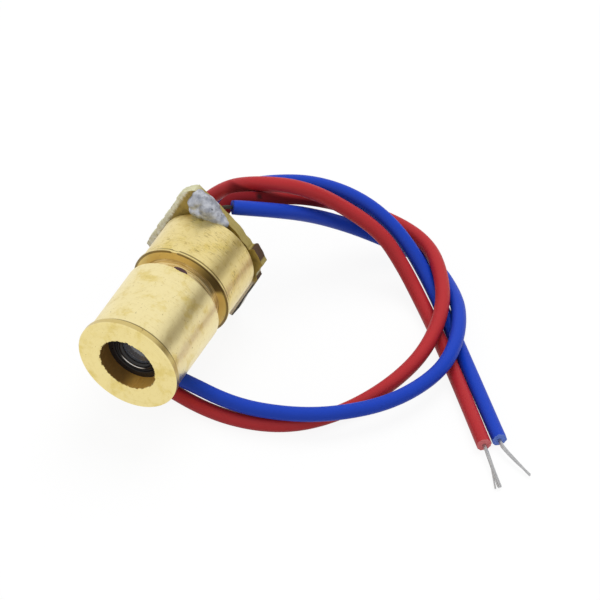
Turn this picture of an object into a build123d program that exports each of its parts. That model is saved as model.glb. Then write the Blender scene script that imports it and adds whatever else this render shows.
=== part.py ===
"""Laser diode module: a brass lens barrel screwed to a diode holder, a driver board and two wires.

Millimetres, +Z up. The optical axis runs along Y at axis_height and the beam leaves towards -Y.
The module rests on one corner of its board and on its own wires, on the plane Z = 0.
"""
import os
from math import cos, pi, radians, sin, sqrt, tan

from build123d import *

# Driving dimensions: lens barrel
front_y = -6.1
barrel_diameter = 6.2
barrel_wall = 0.87
flange_height = 0.16
flange_length = 0.4
nose_wall = 1.1
nose_shoulder = 0.375
edge_break = 0.08

# Driving dimensions: lens and its cell
lens_curve = 3.2
lens_thickness = 1.5
lens_clearance = 0.02
lens_seat = 0.48
cell_length = 2.0
cell_wall = 0.7
cell_lip = 0.25
cell_clearance = 0.03
spring_space = 1.5
spring_clearance = 0.1
spring_wire = 0.25
spring_turns = 3

# Driving dimensions: diode holder
thread_clearance = 0.03
thread_engagement = 1.2
focus_gap = 1.0
holder_diameter = 6.15
holder_length = 3.6
lip_height = 0.1
lip_length = 0.15
lock_radius = 0.36
lock_depth = 0.3
lock_angle = 9

# Driving dimensions: packaged diode
stem_diameter = 3.8
stem_thickness = 1.0
stem_recess = 0.4
stem_clearance = 0.015
can_diameter = 2.7
can_length = 1.7
can_wall = 0.15
can_clearance = 0.15
window_opening = 1.4
window_overlap = 0.25
window_thickness = 0.25
post_width = 0.9
post_thickness = 0.6
post_length = 0.9
chip_thickness = 0.1
chip_size = 0.3
lead_diameter = 0.3
lead_circle_diameter = 1.6
lead_count = 3
lead_angle = 90
lead_clearance = 0.05
lead_projection = 0.4

# Driving dimensions: driver board
roll = 24
board_gap = 0.3
board_thickness = 0.6
board_left = 3.2
board_right = 3.3
board_up = 3.7
board_down = 4.0
snap_step = 0.25
snap_drop = 3.4
tab_foot = 2.05
tab_head = 1.27
tab_run = 0.95
tab_step = 0.28
brow_run = 2.45
brow_drop = 0.9
left_run = 0.4
left_drop = 0.9
cut_run = 1.5
cut_rise = 1.0
resistor_length = 1.6
resistor_width = 0.8
resistor_height = 0.45
resistor_at = (0.6, -2.4)

# Driving dimensions: solder
fillet_leg = 0.3
cone_radius = 0.4
cone_height = 0.3
cone_taper = 30
dome_radius = 0.45
bead_u = -1.35
bead_tilt = -12
bead_half_length = 1.45
bead_half_height = 0.62
bead_rise = 0.12
bead_front_reach = 0.55
bead_front_half_length = 0.8
bead_front_half_height = 0.18
bead_rear_reach = 0.5
bead_rear_half_length = 1.15
bead_rear_half_height = 0.33
bead_rear_rise = 0.37
red_pad = (-0.9, 1.2)
blue_pad = (-1.5, 2.05)

# Driving dimensions: wires
wire_diameter = 0.9
bend_share = 0.45
conductor_diameter = 0.28
bare_run = 0.6
tip_run = 0.8
red_tip_end = (21.83, -1.0, 0.2)
blue_tip_end = (23.05, 0.68, 0.2)

# The wires run from the board, round under the barrel, up behind the board and out to the free ends
red_route = [
    (-0.15, 6.2, 6.6), (-0.12, 7.0, 6.95), (0.35, 7.75, 6.8), (1.3, 8.9, 6.2), (2.7, 11.1, 4.8),
    (4.7, 13.2, 3.0), (7.1, 14.5, 2.1), (9.6, 14.2, 1.7), (11.4, 12.7, 1.55), (13.1, 9.8, 1.5),
    (13.7, 6.1, 1.4), (12.8, 3.0, 1.0), (11.2, 0.3, 0.5), (9.4, -1.9, 0.45), (6.9, -2.9, 0.45),
    (3.6, -3.0, 0.45), (-0.2, -2.6, 0.45), (-3.0, -1.1, 0.45), (-3.5, 2.0, 0.45), (-3.3, 5.6, 1.3),
    (-3.0, 8.8, 3.8), (-1.4, 9.4, 5.6), (0.8, 9.4, 6.9), (3.1, 10.5, 6.7), (4.9, 11.7, 4.9),
    (7.2, 11.8, 3.4), (9.2, 11.5, 1.8), (11.0, 10.5, 0.5), (13.4, 8.2, 0.45), (16.7, 4.9, 0.45),
    (19.8, 1.5, 0.45),
]
blue_route = [
    (0.6, 6.3, 7.3), (2.4, 7.6, 6.65), (3.8, 10.3, 4.5), (5.4, 12.5, 2.5), (7.6, 13.5, 1.3),
    (10.1, 13.9, 0.5), (12.3, 12.8, 0.5), (14.2, 10.2, 1.2), (15.3, 6.8, 1.55), (14.9, 4.1, 1.45),
    (13.5, 1.2, 1.35), (11.3, -1.2, 1.42), (8.6, -2.2, 1.39), (5.3, -2.6, 1.38), (1.8, -2.4, 1.37),
    (-1.3, -2.3, 1.37), (-3.6, -1.1, 1.37), (-4.7, 1.6, 0.8), (-4.7, 4.8, 0.5), (-4.3, 7.7, 1.2),
    (-3.3, 9.8, 2.9), (-1.2, 10.6, 4.6), (0.9, 11.0, 5.6), (2.9, 12.1, 5.5), (4.9, 13.0, 4.7),
    (6.9, 13.1, 3.8), (9.0, 12.7, 2.5), (10.9, 11.9, 0.75), (13.2, 9.8, 0.45), (17.0, 6.1, 0.45),
    (20.5, 2.3, 0.45),
]

# Radii and diameters that follow from the driving dimensions
barrel_radius = barrel_diameter / 2
flange_radius = barrel_radius + flange_height
thread_radius = barrel_radius - barrel_wall
neck_radius = thread_radius - thread_clearance
aperture_radius = neck_radius - nose_shoulder
cell_radius = thread_radius - cell_clearance
lens_radius = cell_radius - cell_wall - lens_clearance
cell_opening = lens_radius - lens_seat
holder_radius = holder_diameter / 2
can_radius = can_diameter / 2
light_radius = can_radius + can_clearance
stem_radius = stem_diameter / 2
lead_radius = lead_diameter / 2
lead_circle = lead_circle_diameter / 2
wire_radius = wire_diameter / 2
conductor_radius = conductor_diameter / 2

# Depths behind the front face
cell_rear = nose_wall + cell_length
neck_front = cell_rear + spring_space
barrel_length = neck_front + thread_engagement
holder_front = barrel_length + focus_gap
holder_rear = holder_front + holder_length
stem_rear = holder_rear - stem_recess
stem_front = stem_rear - stem_thickness
can_front = stem_front - can_length
board_front = holder_rear + board_gap
board_rear = board_front + board_thickness

# The board is rolled about the axis, and the height of the axis puts its lowest corner on Z = 0
axis_height = board_right * sin(radians(roll)) + board_down * cos(radians(roll))
u_direction = Vector(cos(radians(roll)), 0, -sin(radians(roll)))
v_direction = Vector(sin(radians(roll)), 0, cos(radians(roll)))

# In the turning plane local x is the depth behind the front face and local y the radius
turning_plane = Plane(origin=(0, front_y, axis_height), x_dir=(0, 1, 0), z_dir=(1, 0, 0))
optical_axis = Axis((0, front_y, axis_height), (0, 1, 0))


def spot(u, v, depth):
    """Point at u, v of the rolled board frame and a depth behind the front face."""
    return Vector(0, front_y + depth, axis_height) + u_direction * u + v_direction * v


def facing(depth):
    """Plane across the axis at a depth, turned with the board, with its normal to the front."""
    return Plane(origin=spot(0, 0, depth), x_dir=u_direction, z_dir=(0, -1, 0))


def bend_radii(points):
    """Fillet radius at each inner point: a share of the shorter run over the tangent of half the turn."""
    places = [Vector(*point) for point in points]
    radii = []
    for before, here, after in zip(places, places[1:], places[2:]):
        shorter = min((here - before).length, (after - here).length)
        turn = (here - before).get_angle(after - here)
        radii.append(bend_share * shorter / tan(radians(turn / 2)))
    return radii


def direction(start, end):
    """Unit vector from one point to another."""
    return (Vector(*end) - Vector(*start)).normalized()


def rod(points, radius):
    """Round rod along straight runs through the points, joined by arcs."""
    with BuildPart() as solid:
        with BuildLine() as line:
            FilletPolyline(*points, radius=bend_radii(points))
        with BuildSketch(Plane(origin=line.line @ 0, z_dir=line.line % 0)):
            Circle(radius)
        sweep(path=line.wires()[0])
    return solid


# Lens barrel: flange, nose wall with the aperture, and the threaded bore
with BuildPart() as lens_barrel:
    with BuildSketch(turning_plane):
        with BuildLine():
            Polyline(
                (0, aperture_radius + edge_break),
                (0, flange_radius - edge_break),
                (edge_break, flange_radius),
                (flange_length, flange_radius),
                (flange_length, barrel_radius),
                (barrel_length - edge_break, barrel_radius),
                (barrel_length, barrel_radius - edge_break),
                (barrel_length, thread_radius),
                (nose_wall, thread_radius),
                (nose_wall, aperture_radius),
                (edge_break, aperture_radius),
                close=True,
            )
        make_face()
    revolve(axis=optical_axis)

# Lens cell: a ring with a front lip that holds the lens
with BuildPart() as lens_cell:
    with BuildSketch(turning_plane):
        with BuildLine():
            Polyline(
                (nose_wall, cell_opening),
                (nose_wall, cell_radius),
                (cell_rear, cell_radius),
                (cell_rear, lens_radius + lens_clearance),
                (nose_wall + cell_lip, lens_radius + lens_clearance),
                (nose_wall + cell_lip, cell_opening),
                close=True,
            )
        make_face()
    revolve(axis=optical_axis)

# Collimating lens: its convex face rests on the edge of the cell's lip
lip_sag = lens_curve - sqrt(lens_curve**2 - cell_opening**2)
edge_sag = lens_curve - sqrt(lens_curve**2 - lens_radius**2)
half_sag = lens_curve - sqrt(lens_curve**2 - (lens_radius / 2) ** 2)
lens_front = nose_wall + cell_lip - lip_sag
lens_rear = lens_front + lens_thickness
with BuildPart() as collimating_lens:
    with BuildSketch(turning_plane):
        with BuildLine():
            ThreePointArc(
                (lens_front, 0),
                (lens_front + half_sag, lens_radius / 2),
                (lens_front + edge_sag, lens_radius),
            )
            Polyline(
                (lens_front + edge_sag, lens_radius),
                (lens_rear, lens_radius),
                (lens_rear, 0),
                (lens_front, 0),
            )
        make_face()
    revolve(axis=optical_axis)

# Lens spring: from the neck of the holder to the rear face of the cell
spring_radius = thread_radius - spring_clearance - spring_wire / 2
spring_travel = spring_space - spring_wire
with BuildPart() as lens_spring:
    with BuildLine() as coil:
        Helix(
            pitch=spring_travel / spring_turns,
            height=spring_travel,
            radius=spring_radius,
            center=spot(0, 0, cell_rear + spring_wire / 2),
            direction=(0, 1, 0),
        )
    with BuildSketch(Plane(origin=coil.line @ 0, z_dir=coil.line % 0)):
        Circle(spring_wire / 2)
    sweep(path=coil.line, is_frenet=True)

# Diode holder: threaded neck, body with a small front lip, light bore and diode pocket
with BuildPart() as diode_holder:
    with BuildSketch(turning_plane):
        with BuildLine():
            Polyline(
                (neck_front, light_radius),
                (neck_front, neck_radius),
                (holder_front, neck_radius),
                (holder_front, holder_radius + lip_height),
                (holder_front + lip_length, holder_radius + lip_height),
                (holder_front + lip_length, holder_radius),
                (holder_rear - edge_break, holder_radius),
                (holder_rear, holder_radius - edge_break),
                (holder_rear, stem_radius + stem_clearance),
                (stem_front, stem_radius + stem_clearance),
                (stem_front, light_radius),
                close=True,
            )
        make_face()
    revolve(axis=optical_axis)

# Thread lock: a drop of adhesive on the neck, against the rear face of the barrel
barrel_face = Plane(origin=spot(0, 0, barrel_length), z_dir=(0, 1, 0))
with BuildPart() as thread_lock:
    lock_across = neck_radius * sin(radians(lock_angle))
    lock_up = neck_radius * cos(radians(lock_angle))
    with Locations((lock_across, front_y + barrel_length + lock_depth, axis_height + lock_up)):
        Sphere(lock_radius)
    split(bisect_by=barrel_face, keep=Keep.TOP)
    with BuildSketch(facing(holder_front)):
        Circle(neck_radius)
    extrude(amount=focus_gap, mode=Mode.SUBTRACT)

# Diode stem: a disc pressed into the pocket, with the post that carries the chip
with BuildPart() as diode_stem:
    with BuildSketch(facing(stem_rear)):
        Circle(stem_radius)
    extrude(amount=stem_thickness)
    with BuildSketch(facing(stem_front)):
        with Locations((0, chip_thickness + post_thickness / 2)):
            Rectangle(post_width, post_thickness)
    extrude(amount=post_length)

# Laser chip: on the face of the post, with its end on the optical axis
with BuildPart() as laser_chip:
    with BuildSketch(facing(stem_front - post_length + chip_size)):
        with Locations((0, chip_thickness / 2)):
            Rectangle(chip_size, chip_thickness)
    extrude(amount=chip_size)

# Diode can: thin cap over the chip, with a round window opening
with BuildPart() as diode_can:
    with BuildSketch(turning_plane):
        with BuildLine():
            Polyline(
                (can_front, window_opening / 2),
                (can_front, can_radius),
                (stem_front, can_radius),
                (stem_front, can_radius - can_wall),
                (can_front + can_wall, can_radius - can_wall),
                (can_front + can_wall, window_opening / 2),
                close=True,
            )
        make_face()
    revolve(axis=optical_axis)

# Diode window: a glass disc behind the opening of the can
with BuildPart() as diode_window:
    with BuildSketch(facing(can_front + can_wall + window_thickness)):
        Circle(window_opening / 2 + window_overlap)
    extrude(amount=window_thickness)

# Diode leads: three straight pins from the stem, through the board
with BuildPart() as diode_leads:
    with BuildSketch(facing(board_rear + lead_projection)):
        with PolarLocations(lead_circle, lead_count, start_angle=lead_angle):
            Circle(lead_radius)
    extrude(amount=board_rear + lead_projection - stem_rear)

# Driver board: snapped outline with three lead holes
snapped_edge = board_right - snap_step
with BuildPart() as driver_board:
    with BuildSketch(facing(board_rear)):
        with BuildLine():
            Polyline(
                (cut_run - board_left, -board_down),
                (board_right, -board_down),
                (board_right, board_up - snap_drop),
                (snapped_edge, board_up - snap_drop + snap_step),
                (snapped_edge, board_up - tab_foot),
                (snapped_edge - tab_run, board_up - tab_head),
                (snapped_edge - tab_run - tab_step, board_up - tab_head - tab_step),
                (snapped_edge - brow_run, board_up - brow_drop),
                (left_run - board_left, board_up),
                (-board_left, board_up - left_drop),
                (-board_left, cut_rise - board_down),
                close=True,
            )
        make_face()
        with PolarLocations(lead_circle, lead_count, start_angle=lead_angle):
            Circle(lead_radius + lead_clearance, mode=Mode.SUBTRACT)
    extrude(amount=board_thickness)

# Chip resistor: on the rear face of the board
with BuildPart() as chip_resistor:
    with BuildSketch(facing(board_rear + resistor_height)):
        with Locations(resistor_at):
            Rectangle(resistor_length, resistor_width)
    extrude(amount=resistor_height)

# Resistor joints: a solder fillet at each end of the resistor
resistor_plane = Plane(origin=spot(*resistor_at, board_rear), x_dir=u_direction, z_dir=v_direction)
resistor_end = resistor_length / 2
with BuildPart() as resistor_joints:
    with BuildSketch(resistor_plane):
        with BuildLine():
            Polyline(
                (resistor_end, 0),
                (resistor_end + fillet_leg, 0),
                (resistor_end, fillet_leg),
                close=True,
            )
        make_face()
        with BuildLine():
            Polyline(
                (-resistor_end, 0),
                (-resistor_end - fillet_leg, 0),
                (-resistor_end, fillet_leg),
                close=True,
            )
        make_face()
    extrude(amount=resistor_width / 2, both=True)

# Lead joints: a solder cone round each diode lead
with BuildPart() as lead_joints:
    with BuildSketch(facing(board_rear)):
        with PolarLocations(lead_circle, lead_count, start_angle=lead_angle):
            Circle(cone_radius)
    extrude(amount=-cone_height, taper=cone_taper)
    add(diode_leads.part, mode=Mode.SUBTRACT)

# Case joint: a bead of solder from the rim of the holder, up the face of the board and over its edge
bead_sections = (
    (board_front - bead_front_reach, bead_rise, bead_front_half_length, bead_front_half_height),
    (board_front, bead_rise, bead_half_length, bead_half_height),
    (board_front + bead_rear_reach, bead_rear_rise, bead_rear_half_length, bead_rear_half_height),
)
with BuildPart() as case_joint:
    for depth, rise, half_length, half_height in bead_sections:
        with BuildSketch(facing(depth)):
            with Locations((bead_u, holder_radius + rise)):
                Ellipse(half_length, half_height, rotation=bead_tilt)
    loft()
    add(diode_holder.part, mode=Mode.SUBTRACT)
    add(driver_board.part, mode=Mode.SUBTRACT)

# Conductors: each leaves its pad, and its end meets the end of the insulation face to face
board_face = Plane(origin=spot(0, 0, board_rear), x_dir=u_direction, z_dir=(0, 1, 0))


def strand_path(pad, route):
    """From below a pad, through one bend, to the first point of a wire's route."""
    foot = spot(*pad, board_rear)
    bend = Vector(*route[0]) - direction(*route[:2]) * bare_run
    return [foot - (bend - foot).normalized() * bare_run, bend, Vector(*route[0])]


with BuildPart() as red_conductor:
    add(rod(strand_path(red_pad, red_route), conductor_radius).part)
    split(bisect_by=board_face, keep=Keep.TOP)

with BuildPart() as blue_conductor:
    add(rod(strand_path(blue_pad, blue_route), conductor_radius).part)
    split(bisect_by=board_face, keep=Keep.TOP)

# Wire joints: a dome of solder over the foot of each conductor
with BuildPart() as red_joint:
    with Locations(spot(*red_pad, board_rear)):
        Sphere(dome_radius)
    split(bisect_by=board_face, keep=Keep.TOP)
    add(red_conductor.part, mode=Mode.SUBTRACT)

with BuildPart() as blue_joint:
    with Locations(spot(*blue_pad, board_rear)):
        Sphere(dome_radius)
    split(bisect_by=board_face, keep=Keep.TOP)
    add(blue_conductor.part, mode=Mode.SUBTRACT)

# Wires: round tubes of insulation, filled with their strands
red_wire = rod(red_route, wire_radius)
blue_wire = rod(blue_route, wire_radius)


# Bare tips: tinned strands that leave the free end of each wire
def tip_path(route, tip_end):
    """Straight on from the end of a route, then to the end of the tip."""
    end = Vector(*route[-1])
    return [end, end + direction(*route[-2:]) * tip_run, Vector(*tip_end)]


red_tip = rod(tip_path(red_route, red_tip_end), conductor_radius)
blue_tip = rod(tip_path(blue_route, blue_tip_end), conductor_radius)

# Bend radii of the wires, and the volume of each tube against its section times its length
for wire_name, route, wire in (("red_wire", red_route, red_wire), ("blue_wire", blue_route, blue_wire)):
    with BuildLine() as centre_line:
        FilletPolyline(*route, radius=bend_radii(route))
    wire_length = centre_line.wires()[0].length
    print(wire_name, "radii", [round(radius, 2) for radius in bend_radii(route)])
    print(wire_name, "length", round(wire_length, 2), "volume", round(wire.part.volume, 3))
    print(wire_name, "section times length", round(pi * wire_radius**2 * wire_length, 3))

# One STEP file for each piece
pieces = {
    "lens_barrel": lens_barrel,
    "lens_cell": lens_cell,
    "collimating_lens": collimating_lens,
    "lens_spring": lens_spring,
    "diode_holder": diode_holder,
    "thread_lock": thread_lock,
    "diode_stem": diode_stem,
    "laser_chip": laser_chip,
    "diode_can": diode_can,
    "diode_window": diode_window,
    "diode_leads": diode_leads,
    "driver_board": driver_board,
    "chip_resistor": chip_resistor,
    "resistor_joints": resistor_joints,
    "lead_joints": lead_joints,
    "case_joint": case_joint,
    "red_joint": red_joint,
    "blue_joint": blue_joint,
    "red_conductor": red_conductor,
    "blue_conductor": blue_conductor,
    "red_wire": red_wire,
    "blue_wire": blue_wire,
    "red_tip": red_tip,
    "blue_tip": blue_tip,
}
os.makedirs("parts", exist_ok=True)
for label, piece in pieces.items():
    piece.part.label = label
    export_step(piece.part, f"parts/{label}.step")
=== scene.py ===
# %% [markdown]
# # A brass laser module and its two wires
# The module is about as big as a fingertip: a turned brass barrel with a lens in its nose, a second
# brass barrel behind it with the diode, a scrap of circuit board, and two thin wires in a loose loop.
# The packed model is loaded first. It gives the true sizes, and every piece below is made in its frame.

# %% Load the frame
from functools import reduce
from math import atan2, cos, hypot, pi, radians, sin

import bmesh
import bpy
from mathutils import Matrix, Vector


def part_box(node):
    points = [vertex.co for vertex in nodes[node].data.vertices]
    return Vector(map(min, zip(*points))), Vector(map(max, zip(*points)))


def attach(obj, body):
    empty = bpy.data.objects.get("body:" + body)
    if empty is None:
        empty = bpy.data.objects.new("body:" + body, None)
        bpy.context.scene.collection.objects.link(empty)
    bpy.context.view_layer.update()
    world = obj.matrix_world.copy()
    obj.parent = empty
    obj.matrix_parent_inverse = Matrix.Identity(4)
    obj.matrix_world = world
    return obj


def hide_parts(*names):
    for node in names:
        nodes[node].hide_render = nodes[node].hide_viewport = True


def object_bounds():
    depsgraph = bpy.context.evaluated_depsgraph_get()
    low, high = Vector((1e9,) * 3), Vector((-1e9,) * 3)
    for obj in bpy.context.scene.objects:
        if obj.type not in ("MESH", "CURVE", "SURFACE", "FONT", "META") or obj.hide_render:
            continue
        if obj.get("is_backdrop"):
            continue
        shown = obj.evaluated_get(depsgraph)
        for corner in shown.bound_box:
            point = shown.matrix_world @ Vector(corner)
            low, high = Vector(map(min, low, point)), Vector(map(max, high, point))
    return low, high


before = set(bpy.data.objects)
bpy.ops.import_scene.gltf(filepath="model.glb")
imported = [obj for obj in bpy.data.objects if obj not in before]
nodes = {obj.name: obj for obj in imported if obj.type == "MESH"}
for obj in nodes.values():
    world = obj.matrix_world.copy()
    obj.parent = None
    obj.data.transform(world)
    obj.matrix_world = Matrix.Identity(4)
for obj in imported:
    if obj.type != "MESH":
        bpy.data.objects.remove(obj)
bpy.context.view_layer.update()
MM = 0.001
print("CAD nodes:", len(nodes))

# %% [markdown]
# ## The camera
# A picture like this is taken from a distance with a long lens, so that parallel edges stay parallel.
# The camera stands 300 mm away, a little to the right of the nose and well above it.

# %% Camera
AZIMUTH = radians(26.7)
ELEVATION = radians(45.4)
DISTANCE = 300 * MM
TARGET = Vector((7.83, 0.90, 7.70)) * MM

toward_camera = Vector((sin(AZIMUTH) * cos(ELEVATION), -cos(AZIMUTH) * cos(ELEVATION), sin(ELEVATION)))
bpy.ops.object.camera_add(location=TARGET + toward_camera * DISTANCE)
camera = bpy.context.object
camera.rotation_mode = "QUATERNION"
camera.rotation_quaternion = (-toward_camera).to_track_quat("-Z", "Y")
camera.data.sensor_width = 36
camera.data.lens = 307.1
camera.data.clip_start = 0.01
camera.data.clip_end = 20
bpy.context.scene.camera = camera
print("camera at", tuple(round(value, 3) for value in camera.location))

# %% [markdown]
# ## Working by hand, in code
# Each piece starts as a primitive and is shaped in edit mode. Operators work on what is selected, so these
# helpers clear the selection first, pick faces or points by their place, and apply a modifier at once.
# The pieces are millimetres across, so every distance is given in metres through MM.

# %% Select and edit
def only(piece):
    """Makes a piece the active object and the only selected one."""
    bpy.ops.object.select_all(action="DESELECT")
    piece.select_set(True)
    bpy.context.view_layer.objects.active = piece


def edit(piece):
    """Opens a piece in edit mode."""
    only(piece)
    bpy.ops.object.mode_set(mode="EDIT")


def leave():
    """Leaves edit mode."""
    bpy.ops.object.mode_set(mode="OBJECT")


def begin(name, add, **settings):
    """Adds a primitive with nothing else selected, names it and opens it in edit mode, on its points."""
    bpy.ops.object.select_all(action="DESELECT")
    add(**settings)
    piece = bpy.context.object
    piece.name = piece.data.name = name
    edit(piece)
    bpy.ops.mesh.select_mode(type="VERT")
    return piece


def pick(piece, test, kind="FACE"):
    """Selects, in edit mode, the faces or points that pass a test on their place and normal."""
    bpy.ops.mesh.select_mode(type=kind)
    bpy.ops.mesh.select_all(action="DESELECT")
    mesh = bmesh.from_edit_mesh(piece.data)
    mesh.normal_update()
    chosen = 0
    for item in mesh.faces if kind == "FACE" else mesh.verts:
        place = item.calc_center_median() if kind == "FACE" else item.co
        if test(place, item.normal):
            item.select_set(True)
            chosen += 1
    mesh.select_flush_mode()
    bmesh.update_edit_mesh(piece.data)
    return chosen


def modify(piece, kind, **settings):
    """Adds a modifier and applies it."""
    only(piece)
    modifier = piece.modifiers.new(kind.lower(), kind)
    for name, value in settings.items():
        setattr(modifier, name, value)
    bpy.ops.object.modifier_apply(modifier=modifier.name)


print("Blender is in", bpy.context.mode.lower(), "mode")

# %% [markdown]
# ## Turned brass
# Both barrels come off a lathe, so both are an outline spun about the optical axis. A cylinder would need a cut for
# every step. An outline holds all steps, bores and chamfers at once, and its numbers can be read as on a drawing.

# %% Lathe
nose_low, nose_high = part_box("lens_barrel")
FRONT = nose_low.y
AXIS = Vector((0, FRONT, (nose_low.z + nose_high.z) / 2))
LATHE_STEPS = 144


def merge_points():
    """Merges the doubled points of the mesh that is open in edit mode."""
    bpy.ops.mesh.select_all(action="SELECT")
    bpy.ops.mesh.remove_doubles(threshold=0.0005 * MM)


def close():
    """Merges doubled points, turns all faces outwards and leaves edit mode."""
    merge_points()
    bpy.ops.mesh.normals_make_consistent(inside=False)
    leave()


def traced(name, outline, place):
    """A closed line, open in edit mode, drawn from a plane that is shrunk to one point."""
    piece = begin(name, bpy.ops.mesh.primitive_plane_add, size=MM)
    bpy.ops.mesh.merge(type="CENTER")
    here = place(*outline[0])
    bpy.ops.transform.translate(value=here)
    for point in outline[1:] + outline[:1]:
        there = place(*point)
        bpy.ops.mesh.extrude_vertices_move(TRANSFORM_OT_translate={"value": there - here})
        here = there
    merge_points()
    return piece


def turned(name, outline):
    """Spins a closed outline of (depth, radius) points, in mm, about the optical axis."""
    piece = traced(name, outline, lambda depth, radius: AXIS + Vector((0, depth, radius)) * MM)
    bpy.ops.mesh.spin(steps=LATHE_STEPS, angle=2 * pi, center=AXIS, axis=(0, 1, 0))
    close()
    return piece


print("the optical axis is", round(AXIS.z / MM, 3), "mm up")

# %% [markdown]
# The front barrel has a thin flange, and an aperture that was drilled and left rough, so the points of its rim are
# shaken a little. A bevel rounds the edges as a quick touch of a file does: a sharp edge would catch no light.

# %% Hand finish
def shake(distance, seed):
    """Moves the selected points about, by up to a distance in mm."""
    bpy.ops.transform.vertex_random(offset=distance * MM, uniform=1.0, seed=seed)


def round_edges(piece, width, segments=3, angle=30):
    """Bevels every edge that turns more than the angle, and keeps the flats flat."""
    only(piece)
    bpy.ops.object.shade_smooth()
    modify(
        piece, "BEVEL", width=width * MM, segments=segments, limit_method="ANGLE",
        angle_limit=radians(angle), harden_normals=True,
    )


def stand_for(piece, node):
    """Fixes a finished piece to the module in place of its CAD node."""
    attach(piece, "root")
    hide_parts(node)
    print(piece.name, "has", len(piece.data.polygons), "faces")


print("points can be shaken, edges rounded and pieces put in place of CAD nodes")

# %% Front barrel
FLANGE_RADIUS = (nose_high.x - nose_low.x) / 2 / MM
FLANGE_LENGTH = 0.4
NOSE_RADIUS = 3.1
NOSE_BORE = 2.23
NOSE_WALL = 1.1
NOSE_REAR = (nose_high.y - FRONT) / MM
APERTURE_RADIUS = 1.825
UNDERCUT = 0.05
brass_nose = turned("brass_nose", [
    (0, APERTURE_RADIUS + 0.05), (0, APERTURE_RADIUS + 0.15), (0, FLANGE_RADIUS - 0.07), (0.07, FLANGE_RADIUS),
    (FLANGE_LENGTH, FLANGE_RADIUS), (FLANGE_LENGTH, NOSE_RADIUS - UNDERCUT),
    (FLANGE_LENGTH + 0.1, NOSE_RADIUS - UNDERCUT), (FLANGE_LENGTH + 0.14, NOSE_RADIUS),
    (NOSE_REAR - 0.1, NOSE_RADIUS), (NOSE_REAR, NOSE_RADIUS - 0.1), (NOSE_REAR, NOSE_BORE),
    (NOSE_WALL, NOSE_BORE), (NOSE_WALL, APERTURE_RADIUS), (0.06, APERTURE_RADIUS),
])
RIM_RADIUS = (APERTURE_RADIUS + 0.075) * MM
RIM_DEPTH = FRONT + 0.1 * MM
edit(brass_nose)
rim = pick(
    brass_nose, lambda place, normal: hypot(place.x, place.z - AXIS.z) < RIM_RADIUS and place.y < RIM_DEPTH, "VERT",
)
shake(0.035, 7)
leave()
round_edges(brass_nose, 0.03)
stand_for(brass_nose, "lens_barrel")
print("rough points on the rim:", rim)

# %% [markdown]
# The rear barrel has a thin lip at its front, which a slip of the tool has nicked, and a threaded neck that
# screws into the front barrel. A real thread is a helix, but at this size close rings look the same. In the gap
# between the barrels the neck is thicker: a collar with two fine grooves.

# %% Rear barrel
tail_low, tail_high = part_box("diode_holder")
NECK_FRONT = (tail_low.y - FRONT) / MM
NECK_RADIUS = 2.2
NECK_BORE = 1.5
THREAD_DEPTH = 0.1
THREAD_PITCH = 0.25
COLLAR_FRONT = NOSE_REAR + 0.04
COLLAR_RADIUS = 2.52
GROOVE_RADIUS = COLLAR_RADIUS - 0.07
TAIL_FRONT = 6.8
TAIL_REAR = (tail_high.y - FRONT) / MM
LIP_RADIUS = (tail_high.x - tail_low.x) / 2 / MM
LIP_LENGTH = 0.15
TAIL_RADIUS = LIP_RADIUS - 0.1
POCKET_RADIUS = 1.92
POCKET_FLOOR = 9.0
NICK_ANGLE = radians(-7)


def around(angle, radius, depth):
    """A place at an angle from the top, at a distance from the axis and behind the nose, in mm."""
    return AXIS + Vector((sin(angle) * radius, depth, cos(angle) * radius)) * MM


outline = [(NECK_FRONT, NECK_BORE), (NECK_FRONT, NECK_RADIUS)]
for turn in range(int((COLLAR_FRONT - NECK_FRONT - 0.2) / THREAD_PITCH)):
    crest = NECK_FRONT + 0.1 + turn * THREAD_PITCH
    outline.append((crest, NECK_RADIUS))
    outline.append((crest + THREAD_PITCH / 2, NECK_RADIUS - THREAD_DEPTH))
outline += [
    (COLLAR_FRONT, NECK_RADIUS), (COLLAR_FRONT, COLLAR_RADIUS), (COLLAR_FRONT + 0.42, COLLAR_RADIUS),
    (COLLAR_FRONT + 0.47, GROOVE_RADIUS), (COLLAR_FRONT + 0.54, GROOVE_RADIUS),
    (COLLAR_FRONT + 0.59, COLLAR_RADIUS), (COLLAR_FRONT + 0.68, COLLAR_RADIUS),
    (COLLAR_FRONT + 0.73, GROOVE_RADIUS), (TAIL_FRONT, GROOVE_RADIUS), (TAIL_FRONT, LIP_RADIUS),
    (TAIL_FRONT + LIP_LENGTH, LIP_RADIUS), (TAIL_FRONT + LIP_LENGTH, TAIL_RADIUS),
    (TAIL_REAR - 0.08, TAIL_RADIUS), (TAIL_REAR, TAIL_RADIUS - 0.08), (TAIL_REAR, POCKET_RADIUS),
    (POCKET_FLOOR, POCKET_RADIUS), (POCKET_FLOOR, NECK_BORE),
]
brass_tail = turned("brass_tail", outline)
nick = around(NICK_ANGLE, LIP_RADIUS, TAIL_FRONT + 0.1)
edit(brass_tail)
nicked = pick(brass_tail, lambda place, normal: (place - nick).length < 0.2 * MM, "VERT")
bpy.ops.transform.translate(value=(0, 0.05 * MM, -0.08 * MM))
leave()
round_edges(brass_tail, 0.02, 2)
stand_for(brass_tail, "diode_holder")
print("nicked points:", nicked)

# %% [markdown]
# ## Shader maths as expressions
# A finish is a small formula over the surface. Writing it as nodes by hand is slow, so one class wraps a
# socket and turns +, -, * and / into Math nodes, and another holds a node tree and adds any other node.

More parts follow.
